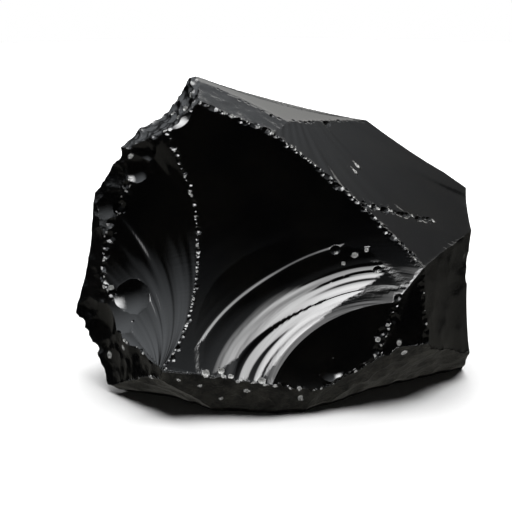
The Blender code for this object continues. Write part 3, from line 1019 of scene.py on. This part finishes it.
@dataclass(frozen=True)
class Chips:
    """One sort of small chips: those in rows along the ridges, and those set singly."""

    name: str
    rows: tuple[ChipRow, ...]
    nicks: tuple[Nick, ...]
    seed: int
    kind: int
    grid: tuple[int, int]
    clearance: float = 0.3
    sphere_rounds: int = 40
    face_rounds: int = 8
    crowding: float = 1.9
    uneven: float = 0.012
    uneven_turn: float = 4.0
    uneven_shift: float = 7.0

    def shining(self, spots: Array) -> Array:
        """The way halfway between the two directions in which light comes and goes."""
        return unit(unit(SHINE_FROM - spots) + unit(SHINE_TO - spots))

    def lie(self, balls: dict[str, Ball]) -> tuple[Array, Array, Array]:
        """Middles, radii and ways of the chips.

        A chip's spot is drawn along its row, and brought onto the ridge by projecting
        it on the two spheres in turn, and then on the two finished faces in turn.  Its
        middle is then moved outwards, so that it bites as deep as its row says.

        Args:
            balls: the flakes' spheres by name.

        Returns:
            The middles, one a row, the radii, and the ways in which the chips bite.
        """
        draw = np.random.default_rng(self.seed)
        flakes = {flake.name: flake for flake in FLAKES}
        middles, sizes, inwards = [], [], []
        for row in self.rows:
            even = (np.arange(row.count) + draw.uniform(0.1, 0.9, row.count)) / max(row.count, 1)
            share = np.array(row.shares) if row.shares else even
            first, second, start, end = row.ridge.value
            one, other = balls[first], balls[second]
            spots = place(start) + share[:, None] * (place(end) - place(start))
            for _ in range(self.sphere_rounds):
                spots = other.nearest(one.nearest(spots))
            for _ in range(self.face_rounds):
                spots = flakes[second].skin(flakes[first].skin(spots))
            outward = unit(unit(one.centre - spots) + unit(other.centre - spots))
            outward = unit((1.0 - row.shine) * outward + row.shine * self.shining(spots))
            outward = unit(outward + draw.normal(0.0, row.jitter, outward.shape))
            size = draw.uniform(*row.sizes, len(share))
            bite = draw.uniform(*row.bites, len(share))
            middles.append(spots + outward * (size - bite)[:, None])
            sizes.append(size)
            inwards.append(-outward)
        for nick in self.nicks:
            spot = flakes[nick.flake].skin(np.array((nick.spot,)))[0]
            way = self.shining(spot) if nick.faces is None else unit(np.array(nick.faces))
            middles.append((spot + way * (nick.size - nick.bite))[None])
            sizes.append((nick.size,))
            inwards.append(-way[None])
        return np.vstack(middles), np.concatenate(sizes), np.vstack(inwards)

    def batches(self, middles: Array, sizes: Array) -> list[Array]:
        """The chips in groups in which no two touch.

        Args:
            middles: middles of the chips.
            sizes: their radii.

        Returns:
            Index arrays, one a group.
        """
        apart = np.linalg.norm(middles[:, None] - middles[None], axis=-1)
        touching = apart < sizes[:, None] + sizes[None] + self.clearance
        groups: list[list[int]] = []
        for chip in range(len(sizes)):
            free = [group for group in groups if not touching[chip, group].any()]
            if free:
                free[0].append(chip)
            else:
                groups.append([chip])
        return [np.array(group) for group in groups]

    def cutter(self, name: str, middles: Array, sizes: Array, inwards: Array) -> bpy.types.Object:
        """One cutter of chips, each a ball with a slightly uneven skin.

        A skin point is the chip's middle plus its radius, made longer or shorter by a
        few sines of its direction, times the direction.  The points stand closest
        together where the ball bites deepest.

        Args:
            name: name of the cutter.
            middles: middles of the chips.
            sizes: their radii.
            inwards: the ways in which they bite.

        Returns:
            The cutter.
        """
        rows, columns = self.grid
        lean = math.pi * (np.arange(1, rows + 1) / (rows + 1)) ** self.crowding
        turn = np.linspace(0.0, FULL_TURN, columns, endpoint=False)
        grid = np.stack(((np.sin(lean)[:, None] * np.cos(turn)).ravel(),
                         (np.sin(lean)[:, None] * np.sin(turn)).ravel(),
                         np.repeat(np.cos(lean), columns)), axis=-1)
        grid = np.vstack((grid, (0.0, 0.0, 1.0), (0.0, 0.0, -1.0)))
        ways = grid @ np.array([(*square_to(axis), axis) for axis in inwards])
        waves = np.sin(self.uneven_turn * ways + middles[:, None, :] * self.uneven_shift).sum(axis=-1)
        uneven = 1.0 + self.uneven * np.minimum(1.0, 3.0 / sizes)[:, None] * waves
        spots = middles[:, None] + ways * (sizes[:, None] * uneven)[..., None]
        shell = closed_faces(rows, columns)
        shift = (np.arange(len(sizes)) * len(grid))[:, None, None]
        groups = tuple((group[None] + shift).reshape(-1, group.shape[1]) for group in shell)
        return solid(name, spots.reshape(-1, 3), groups, self.kind)


@dataclass
class Stone:
    """The broken block of glass, resting on its flat bottom."""

    flakes: tuple[Flake, ...] = FLAKES
    # The last sort are crumbs, whose faces are painted near white: partly crushed glass, partly painted
    # glints.
    chips: tuple[Chips, ...] = (Chips("nicks", (), NICKS, 11, CHIPPED, (14, 40)),
                                Chips("chips", CHIP_ROWS, (), 11, CHIPPED, (7, 12)),
                                Chips("glint_crumbs", GLINT_CRUMB_ROWS, GLINT_CRUMBS, 17, CRUMBLED_GLINT, (6, 9)))
    name: str = "obsidian_stone"
    ridge_angle: float = 13.0
    wear: float = 0.6
    wear_width: float = 0.5
    least_slant: float = 0.02

    def block(self) -> bpy.types.Object:
        """The rough block that the flakes are struck from."""
        picks = np.array([(x, y, z) for z in (0, 1) for y in (0, 1) for x in (0, 1)])
        faces = np.array(((0, 2, 3, 1), (4, 5, 7, 6), (0, 1, 5, 4),
                          (2, 6, 7, 3), (0, 4, 6, 2), (1, 3, 7, 5)))
        return solid(self.name, BLOCK_LOW + picks * (BLOCK_HIGH - BLOCK_LOW), (faces,), BLOCK)

    def strike(self, stone: bpy.types.Object, cutter: bpy.types.Object) -> None:
        """Take a cutter out of the stone, and drop the cutter.

        Args:
            stone: the stone so far.
            cutter: the closed shape to take away.
        """
        cut = stone.modifiers.new(cutter.name, "BOOLEAN")
        cut.operation = "DIFFERENCE"
        cut.solver = "MANIFOLD"
        cut.object = cutter
        graph = bpy.context.evaluated_depsgraph_get()
        mesh = bpy.data.meshes.new_from_object(stone.evaluated_get(graph))
        stone.modifiers.remove(cut)
        spent = (stone.data, cutter.data)
        stone.data = mesh
        bpy.data.objects.remove(cutter, do_unlink=True)
        for old in spent:
            bpy.data.meshes.remove(old)

    def build(self) -> bpy.types.Object:
        """Strike the flakes and the chips, and mark the faces.

        Returns:
            The finished stone.
        """
        balls = {flake.name: flake.ball() for flake in self.flakes}
        stone = self.block()
        for index, flake in enumerate(self.flakes):
            others = [ball for name, ball in balls.items() if name != flake.name]
            self.strike(stone, flake.cutter(index, others))
        for chips in self.chips:
            middles, sizes, inwards = chips.lie(balls)
            for count, group in enumerate(chips.batches(middles, sizes)):
                name = "%s_%d" % (chips.name, count)
                cutter = chips.cutter(name, middles[group], sizes[group], inwards[group])
                self.strike(stone, cutter)
        self.finish(stone.data)
        return stone

    def finish(self, mesh: bpy.types.Mesh) -> None:
        """Smooth the faces, keep the ridges sharp, and write the marks that the glass reads.

        Args:
            mesh: the stone's mesh.
        """
        mesh.name = self.name
        mesh.polygons.foreach_set("use_smooth", np.ones(len(mesh.polygons), dtype=bool))
        mesh.set_sharp_from_angle(angle=math.radians(self.ridge_angle))
        spots = read(mesh.vertices, "co", 3, np.float32) / MM + DATUM
        corners = read(mesh.loops, "vertex_index")
        kinds = read(mesh.attributes["flake"].data, "value")
        kinds = np.repeat(kinds, read(mesh.polygons, "loop_total"))
        self.write_strike(mesh, spots[corners], kinds)
        self.write_crush(mesh, spots, corners, kinds)

    def write_strike(self, mesh: bpy.types.Mesh, spots: Array, kinds: Array) -> None:
        """UV map of each face: distance from its struck point, and distance round it.

        Both are on the flake's sphere: its radius times the angle from the struck point,
        and its radius times the sine of that angle times the turn.

        Args:
            mesh: the stone's mesh.
            spots: the place of every face corner.
            kinds: the flake of every face corner, or less than nought for none.
        """
        axes = np.array([flake.pole() for flake in self.flakes])
        firsts, seconds = np.array([square_to(axis) for axis in axes]).transpose(1, 0, 2)
        balls = [flake.ball() for flake in self.flakes]
        centres = np.array([ball.centre for ball in balls])
        radii = np.array([ball.radius for ball in balls])
        own = np.maximum(kinds, 0)
        ways = unit(spots - centres[own])
        lean = np.arccos(np.clip((ways * axes[own]).sum(axis=-1), -1.0, 1.0))
        turn = np.arctan2((ways * seconds[own]).sum(axis=-1), (ways * firsts[own]).sum(axis=-1))
        marks = np.stack((radii[own] * lean, radii[own] * np.sin(lean) * turn), axis=-1)
        marks[kinds < 0] = spots[kinds < 0][:, :2]
        layer = mesh.uv_layers.new(name="strike")
        layer.data.foreach_set("uv", (marks * MM).astype(np.float32).ravel())

    def write_crush(self, mesh: bpy.types.Mesh, spots: Array, corners: Array, kinds: Array) -> None:
        """How crushed every point is: nought is clean glass, one crushed, two crumbled and painted near
        white, partly crushed glass and partly painted glints.

        It is the most of the point's faces, or the wear of the ridge that it lies near,
        which falls away over the wear width.  The way to the ridge is the gap to the
        second nearest sphere over the sine of the angle between the two.

        Args:
            mesh: the stone's mesh.
            spots: the place of every point.
            corners: the point of every face corner.
            kinds: the flake of every face corner, or less than nought for none.
        """
        levels = np.array([flake.face.value for flake in self.flakes]
                          + [CRUMBLED_GLINT_LEVEL, CHIPPED_LEVEL, BLOCK_LEVEL])
        crush = np.zeros(len(spots))
        np.maximum.at(crush, corners, levels[kinds])
        gaps = np.abs(np.array([flake.ball().gap(spots) for flake in self.flakes]))
        first, second = np.argsort(gaps, axis=0)[:2]
        centres = np.array([flake.ball().centre for flake in self.flakes])
        turned = np.cross(unit(centres[first] - spots), unit(centres[second] - spots))
        slant = np.maximum(np.linalg.norm(turned, axis=1), self.least_slant)
        away = gaps[second, np.arange(len(spots))] / slant
        wear = self.wear * np.exp(-away / self.wear_width)
        made = mesh.attributes.new("crush", "FLOAT", "POINT")
        made.data.foreach_set("value", np.maximum(crush, wear).astype(np.float32))


class Value:
    """A socket of a material's nodes, with the usual arithmetic."""

    def __init__(self, tree: bpy.types.NodeTree, socket: bpy.types.NodeSocket) -> None:
        """Wrap a socket of a node tree."""
        self.tree = tree
        self.socket = socket

    def maths(self, operation: str, *terms: "Value | float") -> "Value":
        """A Math node over the given terms.

        Args:
            operation: the node's operation.
            terms: its inputs in order.

        Returns:
            The node's result.
        """
        node = self.tree.nodes.new("ShaderNodeMath")
        node.operation = operation
        for slot, term in zip(node.inputs, terms):
            feed(self.tree, slot, term)
        return Value(self.tree, node.outputs[0])

    def __add__(self, other: "Value | float") -> "Value":
        """Sum."""
        return self.maths("ADD", self, other)

    __radd__ = __add__

    def __sub__(self, other: "Value | float") -> "Value":
        """Difference."""
        return self.maths("SUBTRACT", self, other)

    def __rsub__(self, other: float) -> "Value":
        """Difference from a plain number."""
        return self.maths("SUBTRACT", other, self)

    def __mul__(self, other: "Value | float") -> "Value":
        """Product."""
        return self.maths("MULTIPLY", self, other)

    __rmul__ = __mul__

    def __pow__(self, other: "Value | float") -> "Value":
        """Power."""
        return self.maths("POWER", self, other)

    def between(self, low: float, high: float) -> "Value":
        """Smooth share from nought at the low value to one at the high value."""
        node = self.tree.nodes.new("ShaderNodeMapRange")
        node.interpolation_type = "SMOOTHSTEP"
        feed(self.tree, node.inputs["Value"], self)
        feed(self.tree, node.inputs["From Min"], low)
        feed(self.tree, node.inputs["From Max"], high)
        return Value(self.tree, node.outputs["Result"])


def feed(tree: bpy.types.NodeTree, slot: bpy.types.NodeSocket, item: object) -> None:
    """Link a value to an input, or set the input to a constant.

    Args:
        tree: the node tree.
        slot: the input.
        item: a Value, a number or a tuple.
    """
    if isinstance(item, Value):
        tree.links.new(item.socket, slot)
    else:
        slot.default_value = item


class Recipe:
    """The nodes of a material or of the surroundings, and short ways to add more."""

    def __init__(self, owner: bpy.types.Material | bpy.types.World) -> None:
        """Start from the nodes that a new material or world has."""
        owner.use_nodes = True
        self.owner = owner
        self.tree = owner.node_tree
        self.shader = self.tree.nodes.get("Principled BSDF")

    def node(self, kind: str, settings: dict[str, object], inputs: dict[str | int, object],
             output: str | int = 0) -> Value:
        """Add a node.

        Args:
            kind: the node's type.
            settings: its properties by name.
            inputs: its inputs by name or number.
            output: the output wanted.

        Returns:
            The output as a value.
        """
        made = self.tree.nodes.new(kind)
        for key, value in settings.items():
            setattr(made, key, value)
        for key, value in inputs.items():
            feed(self.tree, made.inputs[key], value)
        return Value(self.tree, made.outputs[output])

    def objects(self) -> Value:
        """Coordinates of the piece, in metres."""
        return self.node("ShaderNodeTexCoord", {}, {}, "Object")

    def map_side(self, name: str, side: str) -> Value:
        """One coordinate, X or Y, of one of the piece's UV maps."""
        both = self.node("ShaderNodeUVMap", {"uv_map": name}, {}, "UV")
        return self.node("ShaderNodeSeparateXYZ", {}, {0: both}, side)

    def surface(self, output: str, shader: Value) -> None:
        """Use a shader as the surface of the named output node."""
        feed(self.tree, self.tree.nodes[output].inputs["Surface"], shader)

    def noise(self, vector: Value, scale: float, detail: float = 3.0, rough: float = 0.5) -> Value:
        """Soft noise about one half.

        Args:
            vector: where it is read.
            scale: waves a metre.
            detail: octaves.
            rough: strength of the finer octaves.

        Returns:
            The noise.
        """
        inputs = {"Vector": vector, "Scale": scale, "Detail": detail, "Roughness": rough}
        return self.node("ShaderNodeTexNoise", {}, inputs, "Fac")

    def mix(self, share: Value, one: Value | tuple, other: Value | tuple) -> Value:
        """Blend of two colours by a share."""
        return self.node("ShaderNodeMix", {"data_type": "RGBA"}, {0: share, 6: one, 7: other}, 2)

    def bump(self, height: Value, depth: float, base: Value | None = None) -> Value:
        """A normal bent by a height.

        Args:
            height: the height, about one in range.
            depth: metres of relief for one unit of height.
            base: a normal to bend further.

        Returns:
            The bent normal.
        """
        inputs: dict[str | int, object] = {"Height": height, "Distance": depth, "Strength": 1.0}
        if base is not None:
            inputs["Normal"] = base
        return self.node("ShaderNodeBump", {}, inputs, "Normal")

    def set(self, **inputs: object) -> None:
        """Set inputs of the shader, with spaces in their names written as underscores."""
        for key, value in inputs.items():
            feed(self.tree, self.shader.inputs[key.replace("_", " ")], value)


@dataclass(frozen=True)
class Obsidian:
    """Black volcanic glass: a mirror where it broke clean, olive grey where it crushed, and painted near
    white on the crumbs, partly crushed glass and partly painted glints.

    Waves are in waves a metre, and depths in metres.
    """

    deep: Colour = (0.0012, 0.0012, 0.0014, 1.0)
    smoky: Colour = (0.0032, 0.0030, 0.0026, 1.0)
    crushed: Colour = (0.019, 0.018, 0.014, 1.0)
    # Near white of the crumbs: partly the pale of crushed glass, partly painted glints.
    crumbled_glint_white: Colour = (0.55, 0.55, 0.54, 1.0)
    clean_rough: float = 0.03
    splinter_rough: float = 0.16
    crushed_rough: float = 0.32
    bend: float = 1.5
    cloud_waves: float = 60.0
    patch_waves: float = 70.0
    smear_waves: float = 220.0
    lump_waves: float = 300.0
    grit_waves: float = 900.0
    ripple_waves: float = 900.0
    ripple_depth: float = 0.000012
    grit_depth: float = 0.00018
    lump_depth: float = 0.0007

    def make(self) -> bpy.types.Material:
        """Build the material.

        Returns:
            The material.
        """
        recipe = Recipe(bpy.data.materials.new("obsidian"))
        spot = recipe.objects()
        crush = recipe.node("ShaderNodeAttribute", {"attribute_name": "crush"}, {}, "Fac")
        clouds = recipe.noise(spot, self.cloud_waves, 4.0, 0.6)
        grit = recipe.noise(spot, self.grit_waves, 4.0, 0.65)
        uneven = crush + 0.35 * (grit - 0.5) * crush.between(0.02, 0.3)
        splintered, crushed = uneven.between(0.05, 0.45), uneven.between(0.45, 0.95)
        glass = recipe.mix(clouds.between(0.35, 0.7), self.deep, self.smoky)
        lumps = recipe.noise(spot, self.lump_waves, 5.0, 0.7)
        dark = recipe.mix(crushed * lumps.between(0.42, 0.60), glass, self.crushed)
        # Past a crush of one the colour goes to the painted near white of the crumbs: partly crushed
        # glass, partly painted glints.
        recipe.set(Base_Color=recipe.mix(crush.between(1.1, 1.9), dark, self.crumbled_glint_white))
        smear = recipe.noise(spot, self.smear_waves)
        rough = self.clean_rough * (0.6 + 0.8 * smear)
        rough = rough + splintered * (self.splinter_rough - self.clean_rough)
        rough = rough + crushed * (self.crushed_rough - self.splinter_rough)
        recipe.set(Roughness=rough, Metallic=0.0, IOR=self.bend)
        recipe.set(Normal=self.relief(recipe, crush, grit, lumps * crushed, spot))
        return recipe.owner

    def relief(self, recipe: Recipe, crush: Value, grit: Value, lumps: Value, spot: Value) -> Value:
        """Fine ripples on the clean glass, and grit and lumps on the crushed.

        The ripples are noise of the distance from the struck point alone, so that they
        run in rings round it, faded in and out by a slower noise of the place.

        Args:
            recipe: the material.
            crush: how crushed the glass is.
            grit: fine noise.
            lumps: coarse noise where it is crushed.
            spot: the piece's coordinates.

        Returns:
            The bent normal.
        """
        inputs = {"W": recipe.map_side("strike", "X"), "Scale": self.ripple_waves, "Detail": 2.0,
                  "Roughness": 0.55}
        fine = recipe.node("ShaderNodeTexNoise", {"noise_dimensions": "1D"}, inputs, "Fac")
        patch = recipe.noise(spot, self.patch_waves, 2.0).between(0.42, 0.68)
        clean = 1.0 - crush.between(0.2, 0.7)
        rippled = recipe.bump(fine * patch * clean, self.ripple_depth)
        lumpy = recipe.bump(lumps, self.lump_depth, rippled)
        return recipe.bump(grit * crush, self.grit_depth, lumpy)


def sheet_mesh(name: str, spots: Array) -> bpy.types.Object:
    """An open grid of quads through points given in metres, linked to the scene.

    Args:
        name: name of the mesh and object.
        spots: rows by columns by three.

    Returns:
        The new object.
    """
    rows, columns = spots.shape[:2]
    low = (np.arange(rows - 1)[:, None] * columns + np.arange(columns - 1)).ravel()
    faces = np.stack((low, low + 1, low + columns + 1, low + columns), axis=-1)
    mesh = bpy.data.meshes.new(name)
    mesh.from_pydata(spots.reshape(-1, 3).tolist(), [], faces.tolist())
    mesh.polygons.foreach_set("use_smooth", np.ones(len(faces), dtype=bool))
    return link(name, mesh)


@dataclass(frozen=True)
class Card:
    """A glowing card that fades towards its edges, seen only by the stone and floor."""

    name: str
    middle: Spot
    faces: Spot
    wide: float
    high: float
    glow: float
    tint: Colour = (1.0, 1.0, 1.0, 1.0)
    fall: float = 1.0
    cells: int = 8

    def build(self) -> bpy.types.Object:
        """A flat grid across the way that the card faces: middle, plus shares of its sides.

        Returns:
            The card.
        """
        axis = unit(np.array(self.faces, dtype=float))
        helper = np.array((0.0, 1.0, 0.0)) if abs(axis[2]) > 0.7 else np.array((0.0, 0.0, 1.0))
        right = unit(np.cross(helper, axis))
        up = np.cross(axis, right)
        shares = np.linspace(-0.5, 0.5, self.cells + 1)
        across, along = np.meshgrid(shares * self.wide, shares * self.high)
        spots = np.array(self.middle) + across[..., None] * right + along[..., None] * up
        card = sheet_mesh(self.name, spots)
        layer = card.data.uv_layers.new(name="share")
        flat = np.stack((across.ravel() / self.wide, along.ravel() / self.high), axis=-1) + 0.5
        flat = flat[read(card.data.loops, "vertex_index")]
        layer.data.foreach_set("uv", flat.astype(np.float32).ravel())
        card.data.materials.append(self.glowing())
        card.visible_camera = card.visible_diffuse = card.visible_shadow = False
        return card

    def glowing(self) -> bpy.types.Material:
        """Light that fades to nothing at the card's four edges.

        Its strength is the product of the two parabolas across and along the card,
        raised to the fall: the larger that is, the softer the card.

        Returns:
            The material.
        """
        recipe = Recipe(bpy.data.materials.new(self.name))
        across, along = recipe.map_side("share", "X"), recipe.map_side("share", "Y")
        fade = (across * (1.0 - across) * along * (1.0 - along) * 16.0) ** self.fall
        light = recipe.node("ShaderNodeEmission", {}, {"Color": self.tint, "Strength": fade * self.glow})
        clear = recipe.node("ShaderNodeBsdfTransparent", {}, {})
        recipe.surface("Material Output", recipe.node("ShaderNodeAddShader", {}, {0: light, 1: clear}))
        recipe.tree.nodes.remove(recipe.shader)
        return recipe.owner


@dataclass
class Studio:
    """A pale flat floor, soft cards round the stone, a broad light, and the camera."""

    floor_radius: float = 0.75
    floor_shades: tuple[Colour, Colour] = ((0.80, 0.80, 0.80, 1.0), (0.82, 0.82, 0.82, 1.0))
    light_middle: Spot = (0.10, 0.50, 0.85)
    light_tilt: float = -30.0
    light_size: float = 1.5
    light_power: float = 33.0
    camera_middle: Spot = (-0.0052, -0.4014, 0.14825)
    camera_dip: float = 16.0
    lens: float = 100.0
    cards: tuple[Card, ...] = (
        Card("key_card", (-0.054, -0.047, 0.187), (0.0, 0.0, -1.0), 0.130, 0.120, 20.0, fall=1.3),
        Card("left_card", (-0.107, 0.046, 0.190), (0.0, 0.0, -1.0), 0.592, 0.386, 1.7,
             (0.90, 0.95, 1.0, 1.0), fall=2.24),
        Card("back_card", (0.22, 0.42, 0.32), (0.0, -1.0, 0.0), 0.44, 0.43, 1.9,
             (1.0, 0.99, 0.95, 1.0), fall=0.12),
        Card("dim_card", (0.42, 0.42, 0.75), (-0.3, -0.6, -0.7), 0.70, 0.44, 0.20, fall=0.25),
        Card("floor_card", (0.0, -0.17, 0.001), (0.0, 0.0, 1.0), 1.10, 0.60, 0.20,
             (1.0, 0.98, 0.88, 1.0), fall=0.6),
    )

    def floor(self) -> bpy.types.Object:
        """The floor: a flat round, as rings times turns.

        Returns:
            The floor.
        """
        turn = np.linspace(0.0, FULL_TURN, 49)
        out = np.linspace(0.0, self.floor_radius, 6)
        spots = np.stack((np.outer(out, np.cos(turn)), np.outer(out, np.sin(turn)),
                          np.zeros((len(out), len(turn)))), axis=-1)
        floor = sheet_mesh("floor", spots)
        recipe = Recipe(bpy.data.materials.new("pale floor"))
        speck = recipe.noise(recipe.objects(), 400.0, 2.0)
        recipe.set(Base_Color=recipe.mix(speck, *self.floor_shades), Roughness=0.9,
                   Specular_IOR_Level=0.0)
        floor.data.materials.append(recipe.owner)
        floor.visible_glossy = False
        return floor

    def lights(self) -> None:
        """One broad light overhead, which whitens the floor."""
        data = bpy.data.lights.new("overhead", "AREA")
        data.shape = "DISK"
        data.size = self.light_size
        data.energy = self.light_power
        light = link("overhead", data)
        light.location = self.light_middle
        light.rotation_euler = (math.radians(self.light_tilt), 0.0, 0.0)
        light.visible_glossy = False

    def world(self) -> None:
        """White where the camera looks past the floor, nearly dark all round the stone."""
        recipe = Recipe(bpy.data.worlds.new("studio"))
        recipe.tree.nodes.remove(recipe.tree.nodes["Background"])
        dark = recipe.node("ShaderNodeBackground", {}, {"Color": (0.010, 0.010, 0.010, 1.0)})
        white = recipe.node("ShaderNodeBackground", {}, {"Color": (1.0, 1.0, 1.0, 1.0)})
        seen = recipe.node("ShaderNodeLightPath", {}, {}, "Is Camera Ray")
        blend = recipe.node("ShaderNodeMixShader", {}, {0: seen, 1: dark, 2: white})
        recipe.surface("World Output", blend)
        bpy.context.scene.world = recipe.owner

    def camera(self) -> None:
        """A long lens looking a little down."""
        data = bpy.data.cameras.new("camera")
        data.lens = self.lens
        data.sensor_width = 36.0
        data.clip_start = 0.01
        data.clip_end = 10.0
        camera = link("camera", data)
        camera.location = self.camera_middle
        camera.rotation_euler = (math.radians(90.0 - self.camera_dip), 0.0, 0.0)
        bpy.context.scene.camera = camera

    def build(self) -> None:
        """Set up the floor, cards, light, surroundings and camera."""
        self.floor()
        for card in self.cards:
            card.build()
        self.lights()
        self.world()
        self.camera()
        bpy.context.scene.view_settings.view_transform = "Standard"


def main() -> None:
    """Build the stone and the studio, and report each piece."""
    logging.basicConfig(level=logging.INFO, format="%(message)s")
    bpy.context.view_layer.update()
    stone = Stone().build()
    stone.data.materials.clear()
    stone.data.materials.append(Obsidian().make())
    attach(stone, "root")
    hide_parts(NAME)
    LOG.info("stone: %d points, %d faces", len(stone.data.vertices), len(stone.data.polygons))
    Studio().build()
    LOG.info("studio: floor, cards, light and camera")


if __name__ == "__main__":
    main()
